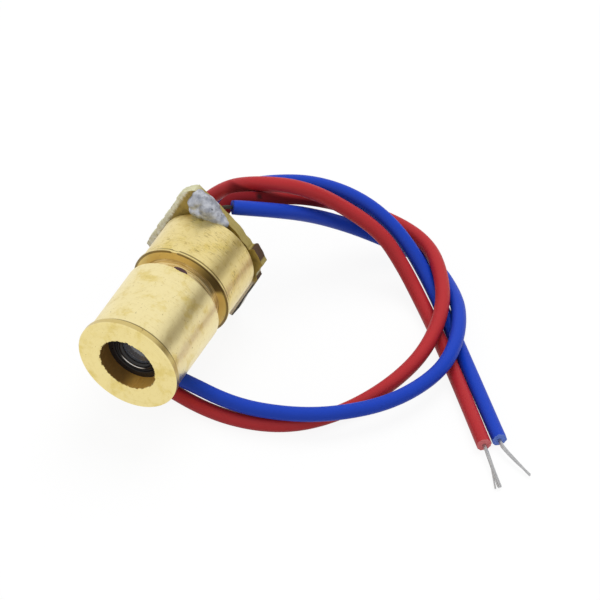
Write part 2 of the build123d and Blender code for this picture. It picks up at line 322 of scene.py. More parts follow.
# %% Sums on sockets
class Signal:
    """One output socket of a finish: arithmetic on it adds Math nodes."""

    def __init__(self, finish, socket):
        self.finish = finish
        self.socket = socket

    def math(self, operation, *values):
        return self.finish.node("ShaderNodeMath", {"operation": operation}, dict(enumerate(values)))

    def __add__(self, other):
        return self.math("ADD", self, other)

    __radd__ = __add__

    def __sub__(self, other):
        return self.math("SUBTRACT", self, other)

    def __rsub__(self, other):
        return self.math("SUBTRACT", other, self)

    def __mul__(self, other):
        return self.math("MULTIPLY", self, other)

    __rmul__ = __mul__

    def __truediv__(self, other):
        return self.math("DIVIDE", self, other)

    def __pow__(self, other):
        return self.math("POWER", self, other)

    def max(self, other):
        return self.math("MAXIMUM", self, other)

    def ramp(self, low, high, start=0.0, end=1.0):
        """A smooth step from start to end as the value goes from low to high."""
        sockets = {"Value": self, "From Min": low, "From Max": high, "To Min": start, "To Max": end}
        return self.finish.node("ShaderNodeMapRange", {"interpolation_type": "SMOOTHSTEP"}, sockets)

    def band(self, low, high, edge):
        """1 between low and high, with soft edges."""
        return self.ramp(low - edge, low) * self.ramp(high, high + edge, 1.0, 0.0)


print("a signal has:", ", ".join(name for name in vars(Signal) if not name.startswith("_")))

# %% [markdown]
# Any node that is not a sum comes from one method, which takes the type, the settings and the sockets of a node.
# The other methods are short names for the nodes that the finishes below use most.

# %% Node tree
class Finish:
    """The node tree of a material or of the world."""

    def __init__(self, tree):
        self.tree = tree
        self.tree.nodes.clear()

    def node(self, kind, settings=None, sockets=None, output=0):
        """Adds a node: its settings are set first, then the values or links of its sockets."""
        made = self.tree.nodes.new(kind)
        for name, value in (settings or {}).items():
            setattr(made, name, value)
        for name, value in (sockets or {}).items():
            if isinstance(value, Signal):
                self.tree.links.new(value.socket, made.inputs[name])
            else:
                made.inputs[name].default_value = value
        return Signal(self, made.outputs[output]) if made.outputs else made

    def split(self, vector):
        """The x, y and z of a vector."""
        made = self.tree.nodes.new("ShaderNodeSeparateXYZ")
        self.tree.links.new(vector.socket, made.inputs[0])
        return [Signal(self, socket) for socket in made.outputs]

    def place(self):
        """Object coordinates in millimetres: across, depth behind the nose, and height over the axis."""
        x, y, z = self.split(self.node("ShaderNodeTexCoord", output=3))
        return x / MM, (y - FRONT) / MM, (z - AXIS.z) / MM

    def vector(self, x, y, z):
        return self.node("ShaderNodeCombineXYZ", {}, {0: x, 1: y, 2: z})

    def point(self):
        """The same place as one vector."""
        return self.vector(*self.place())

    def rays(self, *kinds):
        """1 for light rays of any of these kinds."""
        path = self.tree.nodes.new("ShaderNodeLightPath")
        return strongest([Signal(self, path.outputs[f"Is {kind} Ray"]) for kind in kinds])

    def blend(self, factor, first, second):
        """A mix of two colours."""
        return self.node("ShaderNodeMix", {"data_type": "RGBA"}, {0: factor, 6: first, 7: second}, output=2)

    def coats(self, colour, *more):
        """A colour with others laid over it, each given as (mask, colour)."""
        for mask, over in more:
            colour = self.blend(mask, colour, over)
        return colour

    def noise(self, vector, scale=1.0, detail=3.0, roughness=0.55):
        sockets = {"Vector": vector, "Scale": scale, "Detail": detail, "Roughness": roughness}
        return self.node("ShaderNodeTexNoise", {}, sockets)

    def bump(self, height, strength, distance):
        sockets = {"Height": height, "Strength": strength, "Distance": distance}
        return self.node("ShaderNodeBump", {}, sockets)

    def surface(self, **sockets):
        """Ends the tree in one Principled shader. Socket names have underscores for spaces."""
        named = {name.replace("_", " "): value for name, value in sockets.items()}
        shader = self.node("ShaderNodeBsdfPrincipled", {}, named)
        self.node("ShaderNodeOutputMaterial", {}, {"Surface": shader})


def strongest(signals):
    """The largest of several signals."""
    return reduce(Signal.max, signals)


print("a finish has:", ", ".join(name for name in vars(Finish) if not name.startswith("_")))

# %% [markdown]
# A colour is easiest to judge by its screen values, from 0 to 255, but a shader works in linear light. So colours
# are written as on a screen and converted once.

# %% Colours and materials
def tone(red, green, blue):
    """A colour as seen on a screen, from 0 to 255, in the linear values that a shader needs."""
    linear = []
    for value in (red, green, blue):
        share = value / 255
        linear.append(share / 12.92 if share <= 0.04045 else ((share + 0.055) / 1.055) ** 2.4)
    return (*linear, 1.0)


def new_finish(name):
    """A new material and the finish that fills it."""
    material = bpy.data.materials.new(name)
    material.use_nodes = True
    return material, Finish(material.node_tree)


def paint(piece, *materials):
    """Gives a piece its materials."""
    for material in materials:
        piece.data.materials.append(material)


print("mid grey in linear light:", round(tone(128, 128, 128)[0], 3))

# %% [markdown]
# Brass that has been handled is never one colour. The tool leaves fine rings, so a noise is stretched along the
# circumference: it changes fast along the axis and slowly around it. Tarnish lies on top in clouds, dashes and pits.
# The drilled bore and the neck between the barrels were never polished, so they are browner. Some darkness
# is painted shade: in the groove behind the flange, in the gap, at the lip's steps, inside, and at the bore's left.

# %% Brass finish
def turned_brass(name, bright, wear):
    """Turned brass with rings, clouds of tarnish, short dark dashes and pits. More wear has more of them."""
    material, finish = new_finish(name)
    x, depth, z = finish.place()
    radius = (x * x + z * z) ** 0.5
    right, top = x / radius, z / radius
    along = depth + radius
    point = finish.vector(x, depth, z)
    rings = finish.noise(finish.vector(along * 15, right * 1.8, top * 1.8), 1.0, 4, 0.6)
    dashes = finish.noise(finish.vector(along * 13, right * 7, top * 7), 1.0, 5, 0.7).ramp(0.52, 0.7)
    clouds = finish.noise(point, 0.75, 4, 0.62)
    mottle = finish.noise(point, 3.2, 4, 0.65)
    ripple = finish.noise(point, 1.7, 3, 0.5)
    pits = finish.noise(point, 2.7, 3, 0.6).ramp(0.7, 0.78)
    specks = finish.noise(point, 7.5, 3, 0.6).ramp(0.62, 0.72)
    side = radius.ramp(2.95, 3.05) * depth.ramp(0.02, 0.1)
    rim = radius.ramp(3.12, 3.18) * depth.band(0.1, 0.4, 0.05)
    # Painted shade: the groove behind the flange is darkened.
    groove_shade = depth.band(0.4, 0.56, 0.06) * radius.ramp(3.1, 3.16, 1.0, 0.0)
    bore = radius.ramp(1.9, 1.98, 1.0, 0.0) * depth.ramp(0.03, 0.1)
    neck = radius.ramp(2.54, 2.58, 1.0, 0.0) * depth.ramp(4.5, 4.6)
    # Painted shade: the inside of the rear barrel is made nearly black.
    inside = radius.ramp(1.6, 1.9, 1.0, 0.0) * depth.ramp(4.0, 4.2)
    shoulder = depth.band(6.7, 6.82, 0.04) * radius.ramp(2.54, 2.58)
    # Painted shade: a dark patch on the upper right of the shoulder and the neck, in the gap between the barrels.
    gap_shade = right.ramp(0.15, 0.8) * right.ramp(0.89, 0.95, 1.0, 0.0) * top.ramp(-0.2, 0.2)
    # Painted shade: dark lines at the steps on both sides of the lip.
    step_shade = depth.band(7.0, 7.1, 0.03) * radius.ramp(2.9, 3.0)
    step_shade = step_shade.max(shoulder * radius.ramp(3.0, 3.06))
    crowd = right.band(0.2, 0.5, 0.3) * top.ramp(0.2, 0.5) * depth.ramp(7.2, 8.2)
    ridged = finish.blend(rings.ramp(0.35, 0.65), tone(200, 168, 98), tone(252, 232, 176))
    drilled = finish.blend(mottle, tone(222, 166, 64), tone(250, 206, 112))
    # Painted shade: the bore is darker towards its left side.
    drilled = finish.blend((right + 0.4 * top).ramp(-0.75, -0.2, 0.8, 0.0), drilled, tone(74, 46, 18))
    colour = finish.coats(
        finish.blend(side, tone(241, 223, 156), bright),
        (clouds.ramp(0.48, 0.68) * 0.75, tone(226, 203, 116)),
        (mottle.ramp(0.5, 0.8) * (0.25 + wear * 0.5), tone(205, 178, 92)),
        (rings.ramp(0.5, 0.75) * (0.1 + wear * 0.35), tone(196, 170, 92)),
        (dashes * clouds.ramp(0.44, 0.62).max(crowd * 0.7) * wear, tone(120, 92, 38)),
        (rim * 0.75, tone(200, 176, 104)),
        (groove_shade * 0.85, tone(96, 78, 36)),
        (shoulder, tone(246, 218, 134)),
        (neck, ridged),
        ((shoulder * 0.88 + neck * 0.5) * gap_shade, tone(58, 36, 18)),
        (step_shade * 0.75, tone(88, 66, 28)),
        (inside, tone(34, 28, 22)),
        (bore, drilled),
        (specks * 0.4, tone(150, 122, 60)),
        (pits * 0.6, tone(110, 84, 42)),
    )
    finish.surface(
        Base_Color=colour,
        Metallic=1.0 - bore * 0.75 - shoulder * 0.6 - neck * 0.45,
        Roughness=0.25 + rings * 0.14 + pits * 0.3 + bore * 0.2,
        Normal=finish.bump(rings * 1.6 + dashes * wear * 0.5 - pits * 0.7 + ripple * 3, 0.3, 0.02 * MM),
    )
    return material


paint(brass_nose, turned_brass("nose_brass", tone(243, 228, 172), 0.15))
paint(brass_tail, turned_brass("tail_brass", tone(236, 217, 152), 0.9))
print("brass is on both barrels")

# %% [markdown]
# ## The lens in its cell
# Behind the aperture sits a black ring with a stepped mouth, and in it a plano-convex lens. Both are turned shapes
# again. The steps are there for their edges: each rounded edge catches one thin line of light. On one step a
# short arc is a painted glint, in bright metal colour.

# %% Lens cell
CELL_FRONT = NOSE_WALL
CELL_REAR = CELL_FRONT + 2.0
CELL_RADIUS = 2.2
CELL_LIP = CELL_FRONT + 0.3
MOUTH_RADIUS = 1.0
LENS_RADIUS = 1.48
CELL_BORE = LENS_RADIUS + 0.02
black_cell = turned("black_cell", [
    (CELL_FRONT, 1.45), (CELL_FRONT, CELL_RADIUS), (CELL_REAR, CELL_RADIUS), (CELL_REAR, CELL_BORE),
    (CELL_LIP, CELL_BORE), (CELL_LIP, MOUTH_RADIUS), (CELL_FRONT + 0.24, MOUTH_RADIUS),
    (CELL_FRONT + 0.16, 1.14), (CELL_FRONT + 0.05, 1.18), (CELL_FRONT + 0.05, 1.24), (CELL_FRONT + 0.14, 1.28),
    (CELL_FRONT + 0.14, 1.41),
])
round_edges(black_cell, 0.026, 3, 25)
stand_for(black_cell, "lens_cell")
black_plastic, finish = new_finish("black_cell_plastic")
x, depth, z = finish.place()
grain = finish.noise(finish.vector(x, depth, z), 9.0)
radius = (x * x + z * z) ** 0.5
# Painted glint: a short arc of one step is bright metal colour.
painted_glint = radius.band(1.16, 1.26, 0.02) * depth.ramp(CELL_FRONT + 0.06, CELL_FRONT + 0.1, 1.0, 0.0)
painted_glint = painted_glint * (-0.26 * x - z).ramp(0.85, 1.15)
finish.surface(
    Base_Color=finish.blend(painted_glint, finish.blend(grain, tone(22, 20, 22), tone(38, 35, 37)), tone(236, 234, 230)),
    Metallic=painted_glint,
    Roughness=0.22 + grain * 0.15,
    Specular_IOR_Level=0.35,
    Normal=finish.bump(grain, 0.2, 0.01 * MM),
)
paint(black_cell, black_plastic)

# %% [markdown]
# The lens is a plug of glass with one domed face. The dome is part of a ball, so its outline is worked out from the
# ball's radius. Clear glass in a dark bore would look black, so half of it is a grey sheen with some dust.

# %% Lens
LENS_CURVE = 3.2
LENS_FRONT = CELL_LIP - 0.16
LENS_REAR = LENS_FRONT + 1.5
LENS_STEPS = 12
AXIS_GAP = 0.002
lens_outline = []
for step in range(LENS_STEPS + 1):
    height = AXIS_GAP + (LENS_RADIUS - AXIS_GAP) * step / LENS_STEPS
    lens_outline.append((LENS_FRONT + LENS_CURVE - (LENS_CURVE**2 - height**2) ** 0.5, height))
lens_outline += [(LENS_REAR, LENS_RADIUS), (LENS_REAR, AXIS_GAP)]
glass_lens = turned("glass_lens", lens_outline)
only(glass_lens)
bpy.ops.object.shade_smooth_by_angle(angle=radians(40))
stand_for(glass_lens, "collimating_lens")
clear_glass, finish = new_finish("clear_glass")
dust = finish.noise(finish.point(), 6.0, 4).ramp(0.55, 0.8)
finish.surface(
    Base_Color=finish.blend(dust, tone(118, 124, 136), tone(168, 174, 184)),
    Roughness=0.03 + dust * 0.15,
    IOR=1.7,
    Transmission_Weight=0.5,
)
paint(glass_lens, clear_glass)

# %% [markdown]
# ## The drop of thread lock
# Once the focus was set, the maker fixed the two barrels with one drop of dark adhesive on the edge of the gap.
# It is a ball that is pressed flat along the rim and dragged a little to one side.

# %% Thread lock
lock_low, lock_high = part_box("thread_lock")
lock_place = (lock_low + lock_high) / 2
LOCK_ANGLE = radians(11)
LOCK_REACH = 3.03
LOCK_DEPTH = 5.78
LOCK_AT = around(LOCK_ANGLE, LOCK_REACH, LOCK_DEPTH)
lock_drop = begin("lock_drop", bpy.ops.mesh.primitive_uv_sphere_add, segments=20, ring_count=12, radius=0.45 * MM)
bpy.ops.transform.resize(value=(1.0, 0.34, 0.3))
shake(0.012, 3)
bpy.ops.transform.translate(value=LOCK_AT)
bpy.ops.transform.rotate(value=-LOCK_ANGLE, orient_axis="Y", center_override=LOCK_AT)
close()
modify(lock_drop, "SUBSURF", levels=1, render_levels=1)
only(lock_drop)
bpy.ops.object.shade_smooth()
stand_for(lock_drop, "thread_lock")
lock_resin, finish = new_finish("lock_resin")
cloud = finish.noise(finish.point(), 5.0)
finish.surface(
    Base_Color=finish.blend(cloud, tone(36, 14, 20), tone(86, 42, 50)),
    Roughness=0.3 + cloud * 0.2,
)
paint(lock_drop, lock_resin)
print("drop is", round((lock_place - LOCK_AT).length / MM, 2), "mm from the middle of its CAD solid")

# %% [markdown]
# ## The circuit board
# The board was snapped out of a panel, so its outline is irregular and its edges show pale glass fibre. The outline is
# drawn point by point in the board's own directions, which are rolled about the axis, then roughened and extruded.

# %% Board
ROLL = radians(24)
board_low, board_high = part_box("driver_board")
BOARD_FRONT = (board_low.y - FRONT) / MM
BOARD_REAR = (board_high.y - FRONT) / MM
BOARD_OUTLINE = [
    (-1.7, -4.0), (3.3, -4.0), (3.3, 0.3), (3.05, 0.55), (3.05, 1.65), (2.1, 2.43), (1.82, 2.15), (0.6, 2.8),
    (-1.1, 3.3), (-2.75, 3.75), (-3.05, 3.4), (-3.36, 2.85), (-3.45, 2.3), (-3.37, 1.9), (-3.48, 1.4), (-3.4, 0.8),
    (-3.5, 0.2), (-3.42, -0.3), (-3.52, -0.9), (-3.43, -1.6), (-3.5, -2.3), (-3.45, -3.0),
]


def spot(across, up, depth):
    """A place given along and up the board, and behind the nose, in mm."""
    x = across * cos(ROLL) + up * sin(ROLL)
    z = up * cos(ROLL) - across * sin(ROLL)
    return AXIS + Vector((x, depth, z)) * MM


def extrude(move):
    """Extrudes the selected faces by a vector."""
    bpy.ops.mesh.extrude_region_move(TRANSFORM_OT_translate={"value": move})


def plate(name, outline, front, rear, rough=0.0):
    """An outline in the board's directions, extruded from one depth to another. It may be roughened first."""
    piece = traced(name, outline, lambda across, up: spot(across, up, front))
    if rough:
        bpy.ops.mesh.subdivide(number_cuts=3)
        shake(rough, 5)
        bpy.ops.transform.resize(value=(1, 0, 1), center_override=spot(0, 0, front))
    bpy.ops.mesh.edge_face_add()
    extrude((0, (rear - front) * MM, 0))
    close()
    return piece


scrap_board = plate("scrap_board", BOARD_OUTLINE, BOARD_FRONT, BOARD_REAR, 0.05)
round_edges(scrap_board, 0.03, 2, 40)
stand_for(scrap_board, "driver_board")

# %% [markdown]
# The laminate is brown-olive on its faces, with a weave of two crossed grains. The rear face carries tinned pads and
# two tracks. They could be cut as thin plates, but foil has no height to see, so the finish draws them.

# %% Board finish
def board_place(finish):
    """Places along and up the board, and depth, in mm."""
    x, depth, z = finish.place()
    return x * cos(ROLL) - z * sin(ROLL), x * sin(ROLL) + z * cos(ROLL), depth


def spot_mask(across, up, at, size):
    """1 within a distance of a point on the board."""
    edge = 0.05
    return ((across - at[0]) ** 2 + (up - at[1]) ** 2).ramp(size * size, (size + edge) ** 2, 1.0, 0.0)


RED_PAD = (-0.9, 1.2)
BLUE_PAD = (-1.5, 2.05)
LEAD_CIRCLE = 0.8
LEAD_SPOTS = [(LEAD_CIRCLE * cos(radians(angle)), LEAD_CIRCLE * sin(radians(angle))) for angle in (90, 210, 330)]
RESISTOR_AT = (0.6, -2.4)
PADS = [(RED_PAD, 0.6), (BLUE_PAD, 0.6)] + [(lead, 0.5) for lead in LEAD_SPOTS]
PADS += [((RESISTOR_AT[0] + side * 0.85, RESISTOR_AT[1]), 0.55) for side in (-1, 1)]
laminate, finish = new_finish("laminate")
across, up, depth = board_place(finish)
point = finish.vector(across, up, depth)
warp = finish.noise(finish.vector(across * 14, up * 3, depth))
weft = finish.noise(finish.vector(across * 3, up * 14, depth))
weave = warp + weft
stain = finish.noise(point, 1.6, 4)
fray = finish.noise(point, 3.5, 4, 0.7)
margin = (across + fray * 0.4).ramp(-3.05, -2.8, 1.0, 0.0)
lower_right = up.ramp(-0.4, 0.1, 1.0, 0.0)
rear = depth.ramp(BOARD_REAR - 0.1, BOARD_REAR - 0.05)
track = across.band(-0.35, 0.0, 0.05) * up.band(-2.2, 0.7, 0.05)
track = track.max(across.band(0.6, 0.95, 0.05) * up.band(-2.3, -0.4, 0.05))
tin = rear * strongest([spot_mask(across, up, at, size) for at, size in PADS])
finish.surface(
    Base_Color=finish.coats(
        finish.blend(weave * 0.5, tone(150, 122, 44), tone(196, 170, 84)),
        (stain.ramp(0.45, 0.7) * 0.6, tone(96, 76, 34)),
        (margin, finish.blend(fray.ramp(0.35, 0.75), tone(252, 250, 232), tone(224, 218, 176))),
        (across.ramp(2.9, 3.02) * lower_right, tone(246, 234, 206)),
        (across.ramp(3.17, 3.22) * lower_right, tone(52, 46, 36)),
        (rear * track * 0.7, tone(150, 126, 40)),
        (tin, tone(178, 180, 184)),
    ),
    Metallic=tin * 0.9,
    Roughness=0.5 - tin * 0.15 + stain * 0.1,
    Normal=finish.bump(weave * 0.4 + tin * 0.5 + rear * track * 0.5, 0.35, 0.03 * MM),
)
print("laminate with", len(PADS), "tinned pads")

# %% [markdown]
# The edges are pale where the fibre broke and dark where the snapping tool or the iron burned it. They have layers
# where the faces have a weave, so the faces of the mesh that look sideways get a second material.

# %% Broken edge
def second_material(piece, test):
    """Puts a piece's second material on the faces that pass a test."""
    edit(piece)
    chosen = pick(piece, test)
    piece.active_material_index = 1
    bpy.ops.object.material_slot_assign()
    leave()
    return chosen


broken_fibre, finish = new_finish("broken_fibre")
across, up, depth = board_place(finish)
point = finish.vector(across, up, depth)
layers = finish.noise(finish.vector(across * 1.5, up * 1.5, depth * 12))
splinters = finish.noise(point, 7.0, 4, 0.7)
pale = across.ramp(-2.9, -2.3, 1.0, 0.0).max(across.ramp(2.7, 2.9) * up.band(0.6, 1.5, 0.1))
tab = across.band(2.0, 2.75, 0.15) * up.band(1.8, 2.6, 0.15)
step = across.ramp(2.9, 3.0) * up.band(-0.15, 0.4, 0.1)
burn = tab.max(step) * splinters.ramp(0.1, 0.35)
# The edge is made pale towards its lower right.
pale_lower_right = across.ramp(2.9, 3.1) * up.ramp(-0.6, -0.3, 1.0, 0.0)
finish.surface(
    Base_Color=finish.coats(
        finish.blend(layers, tone(150, 132, 66), tone(184, 168, 104)),
        (pale, finish.blend(layers, tone(196, 194, 148), tone(230, 228, 196))),
        (splinters.ramp(0.5, 0.75) * 0.6, tone(132, 112, 54)),
        (pale_lower_right, tone(240, 238, 228)),
        (burn * 0.95, tone(66, 38, 24)),
    ),
    Roughness=0.65,
    Normal=finish.bump(splinters + layers * 0.5, 0.6, 0.05 * MM),
)
paint(scrap_board, laminate, broken_fibre)
edges = second_material(scrap_board, lambda place, normal: abs(normal.y) < 0.9)
print("faces on the broken edge:", edges)

# %% [markdown]
# ## Solder
# Solder wets what it touches and pulls itself round. The large bead between barrel and board is a heap of overlapping
# balls, fused by a voxel remesh. Blender's smallest voxel is too coarse for it, so it is made ten times too large.

# %% Solder bead
# Each ball is (across, up, depth, radius), in mm.
BEAD_BALLS = [
    (-2.4, 3.45, 10.78, 0.42), (-2.1, 3.4, 10.68, 0.52), (-1.75, 3.3, 10.7, 0.6), (-1.4, 3.22, 10.65, 0.6),
    (-1.05, 3.15, 10.62, 0.48), (-0.72, 3.08, 10.6, 0.4), (-0.42, 3.04, 10.58, 0.33), (-0.2, 3.0, 10.58, 0.26),
    (-2.35, 2.95, 10.65, 0.48), (-2.1, 2.55, 10.55, 0.42), (-1.75, 2.75, 10.5, 0.45), (-1.35, 2.9, 10.48, 0.44),
    (-0.95, 2.98, 10.5, 0.4),
]
BEAD_SCALE = 10
BEAD_LUMPS = 0.14 * MM
BEAD_MIDDLE = spot(-1.35, 3.15, 10.65)
case_solder = begin("case_solder", bpy.ops.mesh.primitive_plane_add, size=MM)
bpy.ops.mesh.delete(type="VERT")
for across, up, depth, radius in BEAD_BALLS:
    place = (spot(across, up, depth) - BEAD_MIDDLE) * BEAD_SCALE
    size = radius * BEAD_SCALE * MM
    bpy.ops.mesh.primitive_uv_sphere_add(segments=24, ring_count=16, radius=size, location=place)
leave()
modify(case_solder, "REMESH", mode="VOXEL", voxel_size=0.45 * MM)
modify(case_solder, "SMOOTH", factor=0.5, iterations=20)
skin = bpy.data.textures.new("solder_skin", "CLOUDS")
skin.noise_scale = 6 * MM
modify(case_solder, "DISPLACE", texture=skin, strength=BEAD_LUMPS * BEAD_SCALE, mid_level=0.5)
edit(case_solder)
bpy.ops.mesh.select_all(action="SELECT")
bpy.ops.transform.resize(value=(1 / BEAD_SCALE,) * 3, center_override=(0, 0, 0))
bpy.ops.transform.translate(value=BEAD_MIDDLE)
leave()
bpy.ops.object.shade_smooth()
stand_for(case_solder, "case_joint")

# %% [markdown]
# Old solder is dull: it froze in fine grains, flux dried on it in grey patches, and gas left pinholes. Three noises
# of different size stand for the three, and the bump takes only the grains and the holes.

# %% Solder finish
dull_solder, finish = new_finish("dull_solder")
point = finish.point()
frost = finish.noise(point, 2.8, 3, 0.5)
scum = finish.noise(point, 1.7, 4, 0.6).ramp(0.48, 0.62)
holes = finish.noise(point, 5.5, 2, 0.4).ramp(0.69, 0.74)
finish.surface(
    Base_Color=finish.coats(
        finish.blend(frost.ramp(0.3, 0.7), tone(152, 156, 167), tone(204, 207, 215)),
        (scum * 0.55, tone(112, 115, 126)),
        (holes * 0.8, tone(66, 62, 60)),
    ),
    Metallic=0.55,
    Roughness=0.4 + frost * 0.2,
    Normal=finish.bump(frost - holes, 0.4, 0.06 * MM),
)
paint(case_solder, dull_solder)
print("solder finish is on", case_solder.name)

# %% [markdown]
# The small joints on the rear are fillets: a skirt of solder that climbs each lead or wire and thins out on the pad.
# One outline is spun about the pad's own axis, and the skirt of each is shaken so that no two are alike.

# %% Small joints
def fillet(name, pads, outline, seed):
    """Solder skirts, one for each pad, from an outline of (radius, height) points in mm."""
    made = []
    for number, (across, up) in enumerate(pads):
        centre = spot(across, up, BOARD_REAR)
        piece = traced(f"{name}_{number}", outline, lambda radius, height: centre + Vector((radius, height, 0)) * MM)
        bpy.ops.mesh.spin(steps=28, angle=2 * pi, center=centre, axis=(0, 1, 0))
        bpy.ops.mesh.select_all(action="SELECT")
        shake(0.012, seed + number)
        close()
        modify(piece, "SMOOTH", factor=0.5, iterations=2)
        made.append(piece)
    return join(name, made)


def join(name, pieces):
    """Joins pieces into the first one."""
    only(pieces[0])
    for piece in pieces:
        piece.select_set(True)
    bpy.ops.object.join()
    pieces[0].name = pieces[0].data.name = name
    bpy.ops.object.shade_smooth()
    return pieces[0]


LEAD_SKIRT = [
    (0.12, -0.02), (0.4, -0.02), (0.4, 0.02), (0.3, 0.06), (0.24, 0.13), (0.2, 0.22), (0.17, 0.3), (0.12, 0.3),
]
WIRE_SKIRT = [
    (AXIS_GAP, -0.02), (0.45, -0.02), (0.45, 0.03), (0.41, 0.12), (0.36, 0.2), (0.28, 0.3), (0.19, 0.38),
    (0.09, 0.43), (AXIS_GAP, 0.44),
]
for name, pads, skirt, seed, node in (
    ("lead_solder", LEAD_SPOTS, LEAD_SKIRT, 11, "lead_joints"),
    ("red_solder", [RED_PAD], WIRE_SKIRT, 21, "red_joint"),
    ("blue_solder", [BLUE_PAD], WIRE_SKIRT, 31, "blue_joint"),
):
    piece = fillet(name, pads, skirt, seed)
    paint(piece, dull_solder)
    stand_for(piece, node)

# %% [markdown]
# ## The chip resistor
# A chip resistor is a slip of white ceramic with a black film on top and a tinned cap wrapped round each end. It is
# three plates in one piece: the ceramic, and two caps a hair larger. Solder ramps tie the caps to the board.

# %% Resistor
def box_outline(middle, width, height):
    """The corners of a rectangle on the board."""
    across, up = middle
    corners = ((-1, -1), (1, -1), (1, 1), (-1, 1))
    return [(across + x * width / 2, up + y * height / 2) for x, y in corners]


RESISTOR_LENGTH = 1.6
CAP_LENGTH = 0.3
CAP_WIDTH, CAP_HEIGHT = 0.8, 0.45
CERAMIC_LENGTH, CERAMIC_WIDTH, CERAMIC_HEIGHT = 1.5, 0.77, 0.42
slab = box_outline(RESISTOR_AT, CERAMIC_LENGTH, CERAMIC_WIDTH)
ceramic = plate("ceramic", slab, BOARD_REAR, BOARD_REAR + CERAMIC_HEIGHT)
caps = []
for side in (-1, 1):
    middle = (RESISTOR_AT[0] + side * (RESISTOR_LENGTH - CAP_LENGTH) / 2, RESISTOR_AT[1])
    cap = plate("cap", box_outline(middle, CAP_LENGTH, CAP_WIDTH), BOARD_REAR, BOARD_REAR + CAP_HEIGHT)
    round_edges(cap, 0.05)
    caps.append(cap)
round_edges(ceramic, 0.03)
print("one slab and", len(caps), "caps")

# %% [markdown]
# The film on top is nearly black and the ceramic below it white. One material changes from white to black with
# height, so the film needs no mesh of its own. The caps are bright tin.

# %% Resistor finish
film_black, finish = new_finish("film_black")
across, up, depth = board_place(finish)
speckle = finish.noise(finish.vector(across, up, depth), 9.0)
top = depth.ramp(BOARD_REAR + 0.34, BOARD_REAR + 0.38)
ceramic_tone = finish.blend(speckle, tone(214, 212, 204), tone(236, 234, 228))
finish.surface(
    Base_Color=finish.blend(top, ceramic_tone, finish.blend(speckle, tone(24, 24, 26), tone(44, 44, 46))),
    Roughness=0.4 + speckle * 0.15,
)
tinned, finish = new_finish("tinned")
frost = finish.noise(finish.point(), 6.0, 4)
finish.surface(
    Base_Color=finish.blend(frost, tone(158, 158, 160), tone(206, 206, 206)),
    Metallic=0.95,
    Roughness=0.2 + frost * 0.14,
    Normal=finish.bump(frost, 0.25, 0.02 * MM),
)
paint(ceramic, film_black)
for cap in caps:
    paint(cap, tinned)
chip_resistor = join("chip_resistor_body", [ceramic] + caps)
bpy.ops.object.shade_smooth_by_angle(angle=radians(35))
stand_for(chip_resistor, "chip_resistor")

# %% [markdown]
# Solder climbs the end of each cap in a hollow curve. The curve is drawn from the side and extruded across the cap.

# %% Resistor solder
RAMP_WIDTH = 0.76
RAMP_OUTLINE = [(0, 0), (0.28, 0), (0.12, 0.07), (0.05, 0.16), (0, 0.3)]
foot = RESISTOR_AT[1] - RAMP_WIDTH / 2
ramps = []
for side in (-1, 1):
    end = RESISTOR_AT[0] + side * RESISTOR_LENGTH / 2
    ramp = traced("ramp", RAMP_OUTLINE, lambda out, height: spot(end + side * out, foot, BOARD_REAR + height))
    bpy.ops.mesh.edge_face_add()
    extrude(spot(0, RAMP_WIDTH, 0) - spot(0, 0, 0))
    close()
    round_edges(ramp, 0.03, 2)
    paint(ramp, dull_solder)
    ramps.append(ramp)
resistor_solder = join("resistor_solder", ramps)
stand_for(resistor_solder, "resistor_joints")

# %% [markdown]
# ## The wires
# Each wire is stranded copper in soft plastic, 0.9 mm across. It leaves the board, runs round in a loop,
# passes under the barrel, comes up behind the board and crosses its own start on the way to the free end.
# A NURBS curve, pulled along by its listed control points, bends as evenly as a soft wire does.

# %% Wire routes
WIRE_DIAMETER = 0.9 * MM
RED_ROUTE = [
    (-0.15, 6.2, 6.6), (-0.12, 7.0, 6.95), (0.35, 7.75, 6.72), (1.27, 8.95, 6.12), (2.7, 11.1, 5.08),
    (4.7, 13.2, 3.4), (7.1, 14.5, 2.1), (9.6, 14.2, 1.7), (11.4, 12.7, 1.55), (13.1, 9.8, 1.5),
    (13.7, 6.1, 1.4), (12.96, 3.08, 1.0), (11.35, 0.37, 0.5), (9.4, -1.9, 0.45), (7.01, -3.12, 0.45),
    (3.84, -3.48, 0.45), (-0.2, -2.6, 0.45), (-3.0, -1.1, 0.45), (-3.5, 2.0, 0.45), (-3.3, 5.6, 1.3),
    (-3.0, 8.8, 3.8), (-1.27, 9.15, 5.88), (0.96, 9.09, 7.19), (3.26, 10.19, 6.88), (5.03, 11.66, 4.99),
    (7.72, 12.05, 3.4), (9.38, 11.6, 1.8), (11.12, 10.57, 0.5), (13.47, 8.23, 0.45), (16.64, 4.85, 0.45),
    (19.7, 1.45, 0.45),
]
BLUE_ROUTE = [
    (0.6, 6.3, 7.4), (2.4, 7.6, 6.85), (3.8, 10.3, 4.7), (5.4, 12.5, 2.55), (7.6, 13.5, 1.3),
    (10.1, 13.9, 0.5), (11.99, 12.62, 0.5), (14.0, 10.2, 1.2), (15.23, 6.87, 1.55), (15.11, 4.23, 1.45),
    (13.66, 1.28, 1.35), (11.23, -1.05, 1.42), (8.66, -2.36, 1.39), (5.48, -3.09, 1.38), (1.86, -2.61, 1.37),
    (-1.3, -2.3, 1.37), (-3.6, -1.1, 1.37), (-4.7, 1.6, 0.8), (-4.7, 4.8, 0.5), (-4.3, 7.7, 1.2),
    (-3.3, 9.8, 2.9), (-1.16, 10.51, 4.7), (0.96, 10.89, 5.73), (2.98, 11.95, 5.67), (4.99, 12.96, 4.77),
    (7.09, 13.19, 3.8), (9.16, 12.78, 2.5), (11.05, 11.97, 0.75), (13.26, 9.81, 0.45), (16.84, 5.98, 0.45),
    (20.34, 2.22, 0.45),
]
print("control points:", len(RED_ROUTE), "and", len(BLUE_ROUTE))

# %% [markdown]
# How long a wire is, and which way it points at its ends, is read from the spline itself, before it gets a thickness.

